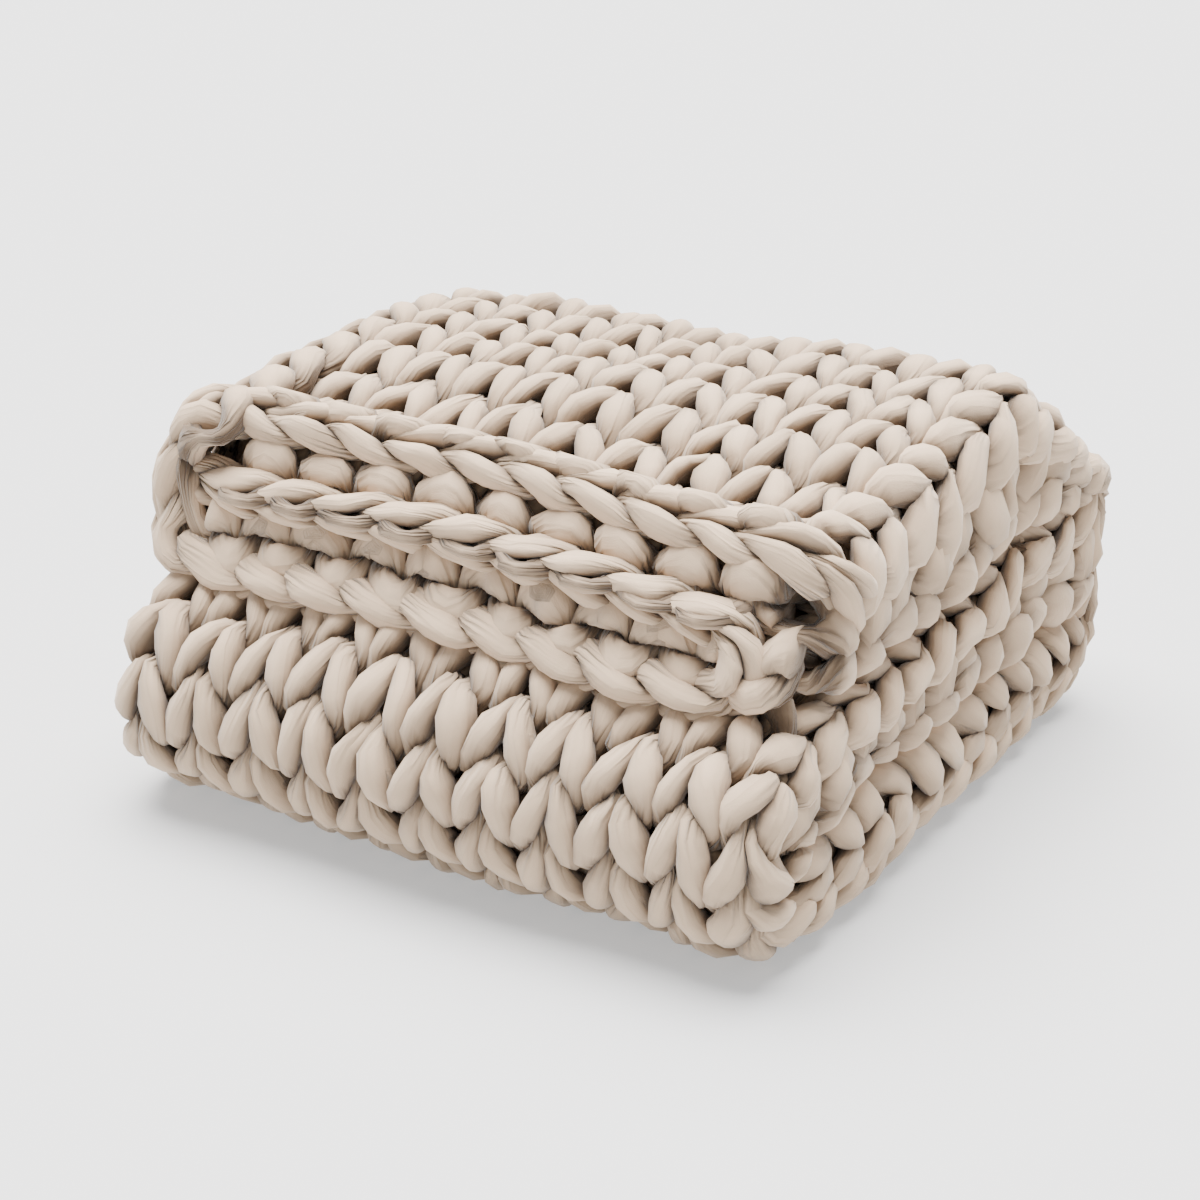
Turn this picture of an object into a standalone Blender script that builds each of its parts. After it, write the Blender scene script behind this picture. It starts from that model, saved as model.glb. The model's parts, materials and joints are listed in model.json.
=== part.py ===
"""Chunky knitted throw blanket, folded into a rectangular pack.

The throw is one knitted cloth.  Its two long sides are folded in first, which makes a strip of
three plies: outer, middle and inner.  A left side fold joins the outer ply to the inner one round
the edge of the middle ply, and a right side fold joins the middle ply to the inner one.  The outer
ply ends at the right in a free selvedge.  The strip is then folded in thirds: the base lies on the
floor, the front fold turns the strip back into the centre panel, and the back fold turns it over
into the top flap.  The flap's free end carries the bind-off edge, the centre panel's the cast-on
edge.

Frame: metres, +Z up, +X to the right along the front, +Y to the back.  The origin is the middle of
the pack's footprint, on the floor.  Every solid is the cloth's cross-section, drawn in x and in the
height n above the strip's inner face, swept along a stretch of the strip's path in the YZ plane.
"""

from math import cos, pi, sin

import bmesh
import bpy
from mathutils import Vector

# Driving dimensions, in metres
WALE_PITCH = 0.038          # width of one knitted column
WALES_ACROSS = 11           # columns across the folded pack
END_BULGE = 0.005           # how far each end stands proud of the outermost column
PACK_DEPTH = 0.430          # front fold to back fold
LOWER_PLY = 0.0205          # ply thickness in the base, the front fold and the centre panel
BACK_PLY = 0.024            # ply thickness in the back fold, at the hinge line
FLAP_PLY = 0.030            # ply thickness in the top flap
FRONT_CORE_RADIUS = 0.003   # radius left open inside the front fold
BACK_CORE_RADIUS = 0.006    # inner corner radius of the back fold
FLAP_SETBACK = 0.112        # flap's front edge behind the front fold
FLAP_SLOPE_LENGTH = 0.110   # stretch over which the flap thins towards the back fold
EDGE_DEPTH = 0.026          # length of the bind-off and cast-on edge bands
EDGE_PINCH = 0.80           # thickness left at the tip of an edge band
EDGE_SHOULDER = 0.6         # share of an edge band's length before it starts to thin
BIND_OFF_STEP = 0.010       # how far each bind-off chain stands in front of the ply above
CAST_ON_CLEARANCE = 0.004   # cast-on edge to the inside of the back fold
FOLD_INSET = 0.41           # right side fold's centre behind the selvedge's, in plies
FOLD_CORE = 0.12            # radius left open inside the right side fold, in plies
SELVEDGE_CURL_RADIUS = 0.25 # inner radius of the selvedge's curl, in plies
GAP = 0.0003                # space between neighbouring solids
ARC_STEPS = 8               # facets in half a turn of a fold
CURL_STEPS = 6              # facets in half a turn across a side fold
SHARP_ANGLE = 0.7           # edges that bend more than this stay sharp, in radians

# Sizes that follow
HALF_WIDTH = WALES_ACROSS * WALE_PITCH / 2 + END_BULGE
FRONT_Y = -PACK_DEPTH / 2
BACK_Y = PACK_DEPTH / 2
PLIES = 3
BASE_TOP = PLIES * LOWER_PLY
CENTRE_BOTTOM = BASE_TOP + 2 * FRONT_CORE_RADIUS
CENTRE_TOP = CENTRE_BOTTOM + PLIES * LOWER_PLY
FLAP_BOTTOM = CENTRE_TOP + GAP
FRONT_AXIS_Y = FRONT_Y + PLIES * LOWER_PLY + FRONT_CORE_RADIUS
FRONT_AXIS_Z = BASE_TOP + FRONT_CORE_RADIUS
BACK_INNER_Y = BACK_Y - PLIES * BACK_PLY
BACK_AXIS_Y = BACK_INNER_Y - BACK_CORE_RADIUS
HINGE_Z = FLAP_BOTTOM - BACK_CORE_RADIUS
FLAP_FRONT_Y = FRONT_Y + FLAP_SETBACK
CAST_ON_TIP_Y = BACK_INNER_Y - CAST_ON_CLEARANCE
CAST_ON_Y = CAST_ON_TIP_Y - EDGE_DEPTH


class Station:
    """One cross-section plane: a point of the strip's inner face, its outward side and the ply."""

    def __init__(self, y, z, turn, ply, pinch=1.0):
        self.y = y
        self.z = z
        self.out_y = sin(turn)
        self.out_z = cos(turn)
        self.ply = ply
        self.pinch = pinch

    def place(self, x, n):
        return Vector((x, self.y + n * self.out_y, self.z + n * self.out_z))


def arc_stations(axis_y, axis_z, radius, start, end, ply, steps):
    """Stations round a fold; the turn is 0 where the outside faces up and pi / 2 at the back.

    The ply keeps one thickness here, because neighbours that thin round a bend would touch.
    """
    stations = []
    for step in range(steps + 1):
        turn = start + (end - start) * step / steps
        y = axis_y + radius * sin(turn)
        z = axis_z + radius * cos(turn)
        stations.append(Station(y, z, turn, ply))
    return stations


def edge_stations(y_root, y_tip, z, ply):
    """Stations of an edge band, which rounds off towards its tip."""
    y_shoulder = y_root + (y_tip - y_root) * EDGE_SHOULDER
    return [
        Station(y_root, z, 0.0, ply),
        Station(y_shoulder, z, 0.0, ply),
        Station(y_tip, z, 0.0, ply, EDGE_PINCH),
    ]


def trimmed(stations):
    """The same stretch, shortened by half the gap at each end."""
    for end, neighbour in ((stations[0], stations[1]), (stations[-1], stations[-2])):
        way = Vector((neighbour.y - end.y, neighbour.z - end.z)).normalized()
        end.y += way.x * GAP / 2
        end.z += way.y * GAP / 2
    return stations


def flap_path():
    """From the flap's front edge back along the top and round to the hinge line."""
    level = [Station(FLAP_FRONT_Y, FLAP_BOTTOM, 0.0, FLAP_PLY),
             Station(BACK_AXIS_Y - FLAP_SLOPE_LENGTH, FLAP_BOTTOM, 0.0, FLAP_PLY)]
    return level + arc_stations(BACK_AXIS_Y, HINGE_Z, BACK_CORE_RADIUS, 0.0, pi / 2, BACK_PLY,
                                ARC_STEPS // 2)


def back_path():
    """From the hinge line down the back and round to the base."""
    upright = [Station(BACK_INNER_Y, HINGE_Z, pi / 2, BACK_PLY)]
    return upright + arc_stations(BACK_AXIS_Y, BASE_TOP + BACK_CORE_RADIUS, BACK_CORE_RADIUS,
                                  pi / 2, pi, LOWER_PLY, ARC_STEPS // 2)


def base_path():
    return [Station(BACK_AXIS_Y, BASE_TOP, pi, LOWER_PLY),
            Station(FRONT_AXIS_Y, BASE_TOP, pi, LOWER_PLY)]


def front_path():
    return arc_stations(FRONT_AXIS_Y, FRONT_AXIS_Z, FRONT_CORE_RADIUS, pi, 2 * pi, LOWER_PLY,
                        ARC_STEPS)


def centre_path():
    return [Station(FRONT_AXIS_Y, CENTRE_BOTTOM, 0.0, LOWER_PLY),
            Station(CAST_ON_Y, CENTRE_BOTTOM, 0.0, LOWER_PLY)]


def cast_on_path(_ply_number):
    return edge_stations(CAST_ON_Y, CAST_ON_TIP_Y, CENTRE_BOTTOM, LOWER_PLY)


def bind_off_path(ply_number):
    """Each lower ply's chain stands a little further forward than the one above it."""
    tip = FLAP_FRONT_Y - EDGE_DEPTH - BIND_OFF_STEP * (PLIES - 1 - ply_number)
    return edge_stations(FLAP_FRONT_Y, tip, FLAP_BOTTOM, FLAP_PLY)


# Places across the strip, all from the ply thickness at the station

def left_fold_axis(ply):
    return -HALF_WIDTH + 1.5 * ply + GAP / 2


def selvedge_axis(ply):
    return HALF_WIDTH - (1 + SELVEDGE_CURL_RADIUS) * ply - GAP / 2


def right_fold_axis(ply):
    return selvedge_axis(ply) - FOLD_INSET * ply - GAP


# Cross-sections.  Each gives an outer and an inner line with the same number of points.

def outer_ply_section(ply):
    left = left_fold_axis(ply) + GAP / 2
    right = selvedge_axis(ply) - GAP / 2
    outer = [(left, 3 * ply), (right, 3 * ply)]
    inner = [(left, 2 * ply + GAP), (right, 2 * ply + GAP)]
    return outer, inner


def middle_ply_section(ply):
    """The middle ply's free left edge is a round nose inside the left side fold.

    Its facets turn at the side fold's own angles, so that the two faceted curves keep their gap.
    """
    nose_x = left_fold_axis(ply)
    radius = 0.5 * ply - GAP
    right = right_fold_axis(ply) - GAP / 2
    angles = [pi * (1 - step / CURL_STEPS) for step in range(1, CURL_STEPS // 2 + 1)]
    outer = [(nose_x + radius * cos(a), 1.5 * ply + radius * sin(a)) for a in angles]
    inner = [(nose_x + radius * cos(a), 1.5 * ply - radius * sin(a)) for a in angles]
    outer.append((right, 1.5 * ply + radius))
    inner.append((right, 1.5 * ply - radius))
    return outer, inner


def inner_ply_section(ply):
    left = left_fold_axis(ply) + GAP / 2
    right = right_fold_axis(ply) - GAP / 2
    return [(left, ply - GAP), (right, ply - GAP)], [(left, 0.0), (right, 0.0)]


def curl_section(axis_x, axis_n, inner_radius, outer_radius, start, end, steps):
    angles = [start + (end - start) * step / steps for step in range(steps + 1)]
    outer = [(axis_x + outer_radius * cos(a), axis_n + outer_radius * sin(a)) for a in angles]
    inner = [(axis_x + inner_radius * cos(a), axis_n + inner_radius * sin(a)) for a in angles]
    return outer, inner


def left_fold_section(ply):
    """Half a turn from the outer ply to the inner one, round the middle ply's edge."""
    return curl_section(left_fold_axis(ply) - GAP / 2, 1.5 * ply, 0.5 * ply, 1.5 * ply,
                        pi * 1.5, pi * 0.5, CURL_STEPS)


def right_fold_section(ply):
    """Half a turn from the inner ply up to the middle one, under the outer ply."""
    return curl_section(right_fold_axis(ply) + GAP / 2, ply, FOLD_CORE * ply, ply - GAP,
                        pi * 0.5, -pi * 0.5, CURL_STEPS)


def selvedge_section(ply):
    """The outer ply's free edge, which curls down over the right side fold."""
    return curl_section(selvedge_axis(ply) + GAP / 2, (2 - SELVEDGE_CURL_RADIUS) * ply,
                        SELVEDGE_CURL_RADIUS * ply + GAP, (1 + SELVEDGE_CURL_RADIUS) * ply,
                        pi * 0.5, 0.0, CURL_STEPS // 2)


def pinched(outer, inner, share):
    """Thins the section about its own mid-line."""
    keep = (1 + share) / 2
    give = (1 - share) / 2
    pairs = list(zip(outer, inner))
    thin_outer = [(a[0] * keep + b[0] * give, a[1] * keep + b[1] * give) for a, b in pairs]
    thin_inner = [(b[0] * keep + a[0] * give, b[1] * keep + a[1] * give) for a, b in pairs]
    return thin_outer, thin_inner


def sweep(name, section, stations, material):
    """One closed solid: the section carried through every station, with a face at each end."""
    mesh = bmesh.new()
    rings = []
    for station in stations:
        lines = pinched(*section(station.ply), station.pinch)
        rings.append([[mesh.verts.new(station.place(x, n)) for x, n in line] for line in lines])
    count = len(rings[0][0])
    for near, far in zip(rings, rings[1:]):
        for line in (0, 1):
            for k in range(count - 1):
                mesh.faces.new((near[line][k], near[line][k + 1], far[line][k + 1], far[line][k]))
        for k in (0, count - 1):
            mesh.faces.new((near[0][k], near[1][k], far[1][k], far[0][k]))
    for ring in (rings[0], rings[-1]):
        for k in range(count - 1):
            mesh.faces.new((ring[0][k], ring[0][k + 1], ring[1][k + 1], ring[1][k]))
    bmesh.ops.recalc_face_normals(mesh, faces=mesh.faces)
    data = bpy.data.meshes.new(name)
    mesh.to_mesh(data)
    mesh.free()
    data.shade_smooth()
    data.set_sharp_from_angle(angle=SHARP_ANGLE)
    data.materials.append(material)
    piece = bpy.data.objects.new(name, data)
    bpy.context.collection.objects.link(piece)
    return piece


def knit_material(name, colour):
    material = bpy.data.materials.new(name)
    material.use_nodes = True
    shader = material.node_tree.nodes["Principled BSDF"]
    shader.inputs["Base Color"].default_value = (*colour, 1.0)
    shader.inputs["Roughness"].default_value = 0.9
    shader.inputs["Metallic"].default_value = 0.0
    return material


def move_origin(piece, point):
    """Puts the piece's origin on a point, with the shape left where it is."""
    for vertex in piece.data.vertices:
        vertex.co -= point
    piece.location = point


BEIGE = (0.66, 0.58, 0.51)
SHADED_BEIGE = (0.56, 0.49, 0.43)
EDGE_BEIGE = (0.70, 0.62, 0.55)

STRETCHES = [
    ("flap", flap_path),
    ("back_fold", back_path),
    ("base", base_path),
    ("front_fold", front_path),
    ("centre_panel", centre_path),
]

SECTIONS = [
    ("outer_ply", outer_ply_section, BEIGE),
    ("middle_ply", middle_ply_section, SHADED_BEIGE),
    ("inner_ply", inner_ply_section, BEIGE),
    ("left_side_fold", left_fold_section, BEIGE),
    ("right_side_fold", right_fold_section, SHADED_BEIGE),
    ("selvedge", selvedge_section, EDGE_BEIGE),
]

# What an edge band holds: its part's name, its section and the ply whose step it takes
EDGE_PARTS = [
    ("outer", outer_ply_section, 2),
    ("middle", middle_ply_section, 1),
    ("inner", inner_ply_section, 0),
    ("left_turn", left_fold_section, 2),
    ("right_turn", right_fold_section, 1),
    ("corner", selvedge_section, 2),
]


def build_panels():
    pieces = []
    for stretch, path in STRETCHES:
        for part, section, colour in SECTIONS:
            name = stretch + "_" + part
            pieces.append(sweep(name, section, trimmed(path()), knit_material(name, colour)))
    return pieces


def build_edges():
    pieces = []
    for edge, path in (("bind_off", bind_off_path), ("cast_on", cast_on_path)):
        for part, section, ply_number in EDGE_PARTS:
            name = edge + "_" + part
            stations = trimmed(path(ply_number))
            pieces.append(sweep(name, section, stations, knit_material(name, EDGE_BEIGE)))
    return pieces


def hang_flap(pieces):
    """The flap and its bind-off edge turn together on the line where the back fold bends."""
    hinge = bpy.data.objects.new("back_fold_hinge", None)
    hinge.location = (0.0, BACK_Y, HINGE_Z)
    bpy.context.collection.objects.link(hinge)
    for piece in pieces:
        if piece.name.startswith(("flap_", "bind_off_")):
            move_origin(piece, hinge.location)
            piece.location = (0.0, 0.0, 0.0)
            piece.parent = hinge


def clear_scene():
    for item in list(bpy.data.objects):
        bpy.data.objects.remove(item, do_unlink=True)


def main():
    clear_scene()
    hang_flap(build_panels() + build_edges())


main()
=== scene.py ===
import json
from math import cos, pi, radians, sin

import bmesh
import bpy
import numpy as np
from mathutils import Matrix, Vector


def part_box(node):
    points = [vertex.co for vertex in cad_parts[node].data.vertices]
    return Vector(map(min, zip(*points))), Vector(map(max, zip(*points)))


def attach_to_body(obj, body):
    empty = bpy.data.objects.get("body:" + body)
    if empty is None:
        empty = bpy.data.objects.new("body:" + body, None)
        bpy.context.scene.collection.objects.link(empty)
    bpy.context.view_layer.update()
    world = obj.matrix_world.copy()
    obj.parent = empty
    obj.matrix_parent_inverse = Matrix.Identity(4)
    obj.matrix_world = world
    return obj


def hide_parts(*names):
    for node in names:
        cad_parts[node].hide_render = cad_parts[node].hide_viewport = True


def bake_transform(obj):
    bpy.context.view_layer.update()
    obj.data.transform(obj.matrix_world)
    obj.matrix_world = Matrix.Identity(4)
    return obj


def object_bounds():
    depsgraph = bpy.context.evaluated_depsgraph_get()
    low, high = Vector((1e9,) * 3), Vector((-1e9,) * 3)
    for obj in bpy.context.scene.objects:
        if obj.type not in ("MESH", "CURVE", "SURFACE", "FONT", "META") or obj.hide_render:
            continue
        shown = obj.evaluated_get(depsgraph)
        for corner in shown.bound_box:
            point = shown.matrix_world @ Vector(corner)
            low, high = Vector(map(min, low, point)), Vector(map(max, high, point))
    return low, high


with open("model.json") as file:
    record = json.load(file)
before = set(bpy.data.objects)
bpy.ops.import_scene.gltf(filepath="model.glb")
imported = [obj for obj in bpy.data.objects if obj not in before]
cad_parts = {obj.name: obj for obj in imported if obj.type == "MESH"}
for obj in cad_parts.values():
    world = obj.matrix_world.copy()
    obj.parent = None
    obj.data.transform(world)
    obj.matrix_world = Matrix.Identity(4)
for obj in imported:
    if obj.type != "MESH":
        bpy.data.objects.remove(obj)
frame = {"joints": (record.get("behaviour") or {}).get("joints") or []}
size_at_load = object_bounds()

# ---------------------------------------------------------------- sizes, in metres
# x runs to the right, y to the back and z up. The flap's front edge faces the front.
COLUMN = 0.0382          # width of one column of stitches
ROW = 0.0325             # length of one row of stitches
LINK = 0.038             # length of one link of a chain
YARN_RADIUS = 0.0112     # of the stuffed tube where nothing squeezes it
RELIEF = 0.014           # from a ply's middle to the crest of its stitches, on the knit side
SLOPE_LENGTH = 0.110     # over which the flap thins towards the back
LEAD = 0.03              # by which a guide goes on past the stitches that follow it
LIP = 0.15               # share of its thickness that a ply keeps at the lip of a rolled edge

LOW, HIGH = size_at_load
HINGE = frame["joints"][0]["pos_m"]
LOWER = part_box("base_inner_ply")
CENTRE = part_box("centre_panel_inner_ply")
FLAP_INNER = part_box("flap_inner_ply")
FLAP_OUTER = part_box("flap_outer_ply")

LOWER_PLY = LOWER[1][2] - LOWER[0][2]
FLAP_PLY = FLAP_INNER[1][2] - FLAP_INNER[0][2]
FLAP_BOTTOM = FLAP_INNER[0][2]
BACK_PLY = (FLAP_OUTER[0][2] - FLAP_BOTTOM) / 2
BASE_TOP = LOWER[1][2]
CENTRE_BOTTOM = CENTRE[0][2]
FRONT_CORE = (CENTRE_BOTTOM - BASE_TOP) / 2
FRONT_AXIS = (LOW[1] + 3 * LOWER_PLY + FRONT_CORE, BASE_TOP + FRONT_CORE)
BACK_INNER = HIGH[1] - 3 * BACK_PLY
BACK_CORE = FLAP_BOTTOM - HINGE[2]
BACK_AXIS = BACK_INNER - BACK_CORE

# How far the pack's own weight pulls it out of true
WAVES = 7.0              # slow waves across a metre
SOFTNESS = 0.010         # height of those waves
ROUND_HEIGHT = 0.16      # up to which the back leans in towards the floor
ROUND_BACK = 0.040       # how far it leans in at the floor
SQUARE_BACK = 0.17       # how much farther out the back fold's upper corner bulges than a round one
SAG_LEFT = 0.035         # how far the flap's back left corner sinks
RISE_RIGHT = 0.050       # how far its back right corner is propped up by the rolled edge
FLOOR = 0.0006           # height at which the floor stops the yarn
FLOOR_EASE = 0.006       # over which it flattens there
CEILING = HIGH[2] + 0.0155   # height above which no yarn stands
CEILING_EASE = 0.008     # over which it levels off there


# ---------------------------------------------------------------- guides
def arc(centre, radius, start, end, steps):
    """Points and outward normals along an arc, in the plane of the guide. Angles in degrees."""
    turns = np.linspace(radians(start), radians(end), steps)
    normals = np.stack([np.cos(turns), np.sin(turns)], 1)
    return np.array(centre) + radius * normals, normals


def line(start, end, normal, steps=40):
    """Points along a straight line, and the one normal that they share."""
    share = np.linspace(0, 1, steps)[:, None]
    points = (1 - share) * np.array(start) + share * np.array(end)
    return points, np.repeat([normal], steps, 0).astype(float)


def lengthwise(front):
    """The strip's inner face from its cast-on end, round the front fold, to y = `front` on the flap: for each
    run the stretch that it belongs to, its (y, z) points, their outward normals, and a ply's thickness at its
    two ends."""
    up, down, back = (0, 1), (0, -1), (1, 0)
    slope_end = BACK_AXIS - SLOPE_LENGTH
    low_turn = BASE_TOP + BACK_CORE
    centre = line((BACK_AXIS, CENTRE_BOTTOM), (FRONT_AXIS[0], CENTRE_BOTTOM), up)
    front_turn = arc(FRONT_AXIS, FRONT_CORE, 90, 270, steps=60)
    base = line((FRONT_AXIS[0], BASE_TOP), (BACK_AXIS, BASE_TOP), down)
    back_lower = arc((BACK_AXIS, low_turn), BACK_CORE, -90, 0, steps=30)
    back_middle = line((BACK_INNER, low_turn), (BACK_INNER, HINGE[2]), back)
    back_upper = arc((BACK_AXIS, HINGE[2]), BACK_CORE, 0, 90, steps=30)
    flap_slope = line((BACK_AXIS, FLAP_BOTTOM), (slope_end, FLAP_BOTTOM), up)
    flap_level = line((slope_end, FLAP_BOTTOM), (front, FLAP_BOTTOM), up)
    return [
        ("centre_panel", *centre, LOWER_PLY, LOWER_PLY),
        ("front_fold", *front_turn, LOWER_PLY, LOWER_PLY),
        ("base", *base, LOWER_PLY, LOWER_PLY),
        ("back_fold", *back_lower, LOWER_PLY, BACK_PLY),
        ("back_fold", *back_middle, BACK_PLY, BACK_PLY),
        ("back_fold", *back_upper, BACK_PLY, BACK_PLY),
        ("flap", *flap_slope, BACK_PLY, FLAP_PLY),
        ("flap", *flap_level, FLAP_PLY, FLAP_PLY),
    ]


def lengths_along(points):
    """The length of a polyline from its start to each of its points."""
    return np.concatenate([[0], np.cumsum(np.linalg.norm(np.diff(points, axis=0), axis=1))])


def path_length(points):
    return np.linalg.norm(np.diff(points, axis=0), axis=1).sum()


def resampled(points, values, step=0.002, touching=1e-6):
    """A polyline's points an even step apart, with the value that each one carries."""
    gaps = np.linalg.norm(np.diff(points, axis=0), axis=1)
    keep = np.concatenate([[True], gaps > touching])
    points, values = points[keep], values[keep]
    along = lengths_along(points)
    places = np.linspace(0, along[-1], max(2, int(along[-1] / step)))
    spread = [np.interp(places, along, points[:, k]) for k in range(points.shape[1])]
    return np.stack(spread, 1), np.interp(places, along, values)


def evened(*runs):
    run = np.vstack(runs)
    return resampled(run, np.zeros(len(run)))[0]


def rounded(points, rounds=3, cut=0.25):
    """A route through given points, with its corners cut smooth."""
    points = np.array(points, float)
    for _ in range(rounds):
        near = (1 - cut) * points[:-1] + cut * points[1:]
        far = cut * points[:-1] + (1 - cut) * points[1:]
        middle = np.stack([near, far], 1).reshape(-1, points.shape[1])
        points = np.vstack([points[:1], middle, points[-1:]])
    return points


def softened(points, reach=4, rounds=2):
    """The points with their bends eased, the two ends left in place."""
    for _ in range(rounds):
        before = 2 * points[0] - points[reach:0:-1]
        after = 2 * points[-1] - points[-2:-reach - 2:-1]
        extended = np.vstack([before, points, after])
        points = np.mean([extended[k:k + len(points)] for k in range(2 * reach + 1)], axis=0)
    return points


def length_guide(depth, edge, front):
    """The guide of the layer that lies `depth` plies out from the inner face, as points, thickness scales and
    the length at which each stretch ends. Past y = `front` the flap's part of it follows `edge`."""
    points, scales, ends = [], [], {}
    total = 0.0
    last = None
    for stretch, face, normals, first_ply, last_ply in lengthwise(front):
        ply = np.linspace(first_ply, last_ply, len(face))
        run = face + depth * ply[:, None] * normals
        if last is not None:
            total += np.linalg.norm(run[0] - last)
        total += path_length(run)
        last = run[-1]
        ends[stretch] = total
        points.append(run)
        scales.append(ply / LOWER_PLY)
    if edge:
        edge = rounded(edge, 2)
        total += path_length(np.vstack([last, edge]))
        ends["flap"] = total
        points.append(edge)
        scales.append(np.linspace(1.0, LIP, len(edge)) * FLAP_PLY / LOWER_PLY)
    points, scales = resampled(np.vstack(points), np.concatenate(scales))
    return softened(points), scales, ends


def guide_object(name, points, scales=None):
    """A poly curve through the points, carried straight on past both ends by the length of LEAD."""
    first = (points[0] - points[1]) / np.linalg.norm(points[0] - points[1])
    last = (points[-1] - points[-2]) / np.linalg.norm(points[-1] - points[-2])
    points = np.vstack([points[0] + LEAD * first, points, points[-1] + LEAD * last])
    data = bpy.data.curves.new(name, "CURVE")
    data.dimensions = "3D"
    spline = data.splines.new("POLY")
    spline.points.add(len(points) - 1)
    spline.points.foreach_set("co", np.hstack([points, np.ones((len(points), 1))]).ravel())
    if scales is not None:
        spline.points.foreach_set("radius", np.concatenate([scales[:1], scales, scales[-1:]]))
    guide = bpy.data.objects.new(name, data)
    bpy.context.scene.collection.objects.link(guide)
    return guide


def in_side_plane(points):
    return np.stack([points[:, 0], 0 * points[:, 0], points[:, 1]], 1)


def in_length_plane(points):
    return np.stack([0 * points[:, 0], points[:, 0], points[:, 1]], 1)


# ---------------------------------------------------------------- one stitch
LEAN = 0.235             # sideways swing of a stitch's legs, in columns
NARROW = 0.035           # how much that swing narrows the head, in columns
REACH = 0.80             # from the stitch's middle to its head or its feet, in rows
DEPTH = 0.0088           # how far the legs lie before the ply's middle, and head and feet behind it
DRAWN = 0.6              # width of the turn over which a link's feet are drawn together

NEAR_FOOT = 0.27 * pi    # turns at which the left leg dives behind its neighbours
NEAR_HEAD = 0.79 * pi
BELLY = 0.55 * pi        # turn at which it is fattest
PINCHED = 0.22           # share of its radius that the yarn loses near the foot
FATTENED = 0.06          # and gains at the belly

STRAND_POINTS = 61       # on a neighbouring strand, at which its distance is taken
SAME_STRAND = 2.6        # yarn radii of length, within which a strand doesn't press on itself
SHRUNK = 0.985           # of the way to the face that two strands share
THINNEST = 0.0032        # radius where the yarn is squeezed hardest
PRESS_STARTS = 0.975     # share of its free radius below which the yarn counts as pressed
PRESS_SHADE_GROWS = 4.5        # how fast the painted shade along its line darkens from there


def hump(turn, middle, width):
    away = (turn - middle + pi) % (2 * pi) - pi
    return np.exp(-((away / width) ** 2))


def on_both_legs(turn, middle, width):
    """A hump on the left leg and its mirror image on the right one."""
    return hump(turn, middle, width) + hump(turn, 2 * pi - middle, width)


def knit_line(turn):
    """The yarn's middle through one stitch: foot, left leg, head, right leg, foot, as `turn` goes from 0 to
    2 pi."""
    across = COLUMN * (turn / (2 * pi) + LEAN * np.sin(2 * turn) + NARROW * np.sin(turn))
    return np.stack([across, -REACH * ROW * np.cos(turn), -DEPTH * np.cos(2 * turn)], -1)


def chain_line(turn):
    """One link of a chain: a stitch whose two feet are drawn together behind its neighbours."""
    route = knit_line(turn)
    route[..., 0] = (route[..., 0] - COLUMN / 2) * (1 - hump(turn, 0.0, DRAWN))
    return route


def squeezed_radii(yarn_line, beside, centres, rays, turns, radii):
    """Radii of the yarn's rings, cut back half way to every neighbouring strand that presses on them. The
    strand's copies lie a row apart and, where the stitch has others beside it, a column apart."""
    tiny = 1e-6
    endless = 9.0
    samples = np.linspace(0, 2 * pi, STRAND_POINTS)
    strand = yarn_line(samples)
    along = lengths_along(strand)
    here = np.interp(turns, samples, along)
    rho = np.repeat(radii[:, None], rays.shape[1], 1)
    for down in range(-2, 3):
        for right in range(-2, 3) if beside else (0,):
            other = strand[:-1] + np.array([right * COLUMN, down * ROW, 0])
            gap = other[None] - centres[:, None]
            square = (gap ** 2).sum(-1)
            apart = np.ones(square.shape, bool)
            if down == 0:
                between = np.abs(along[:-1][None] + right * along[-1] - here[:, None])
                if not beside:
                    between = np.minimum(between, along[-1] - between)
                apart = between > SAME_STRAND * YARN_RADIUS
            facing = np.einsum("kmi,kqi->kmq", rays, gap)
            limit = square[:, None, :] / (2 * np.maximum(facing, tiny))
            limit = np.where((facing > tiny) & apart[:, None, :], limit, endless)
            rho = np.minimum(rho, limit.min(-1))
    rho = np.maximum(rho * SHRUNK, THINNEST)
    for _ in range(2):
        rho = (np.roll(rho, 1, 1) + 2 * rho + np.roll(rho, -1, 1)) / 4
        ring = rho[:-1]
        ring = (np.roll(ring, 1, 0) + 2 * ring + np.roll(ring, -1, 0)) / 4
        rho = np.concatenate([ring, ring[:1]])
    return rho


def carry(mesh, name, values):
    """Store one value or vector for each point, which every copy of the stitch keeps."""
    kind, field = ("FLOAT_VECTOR", "vector") if values.shape[-1] == 3 else ("FLOAT", "value")
    mesh.attributes.new(name, kind, "POINT").data.foreach_set(field, values.ravel())


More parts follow.
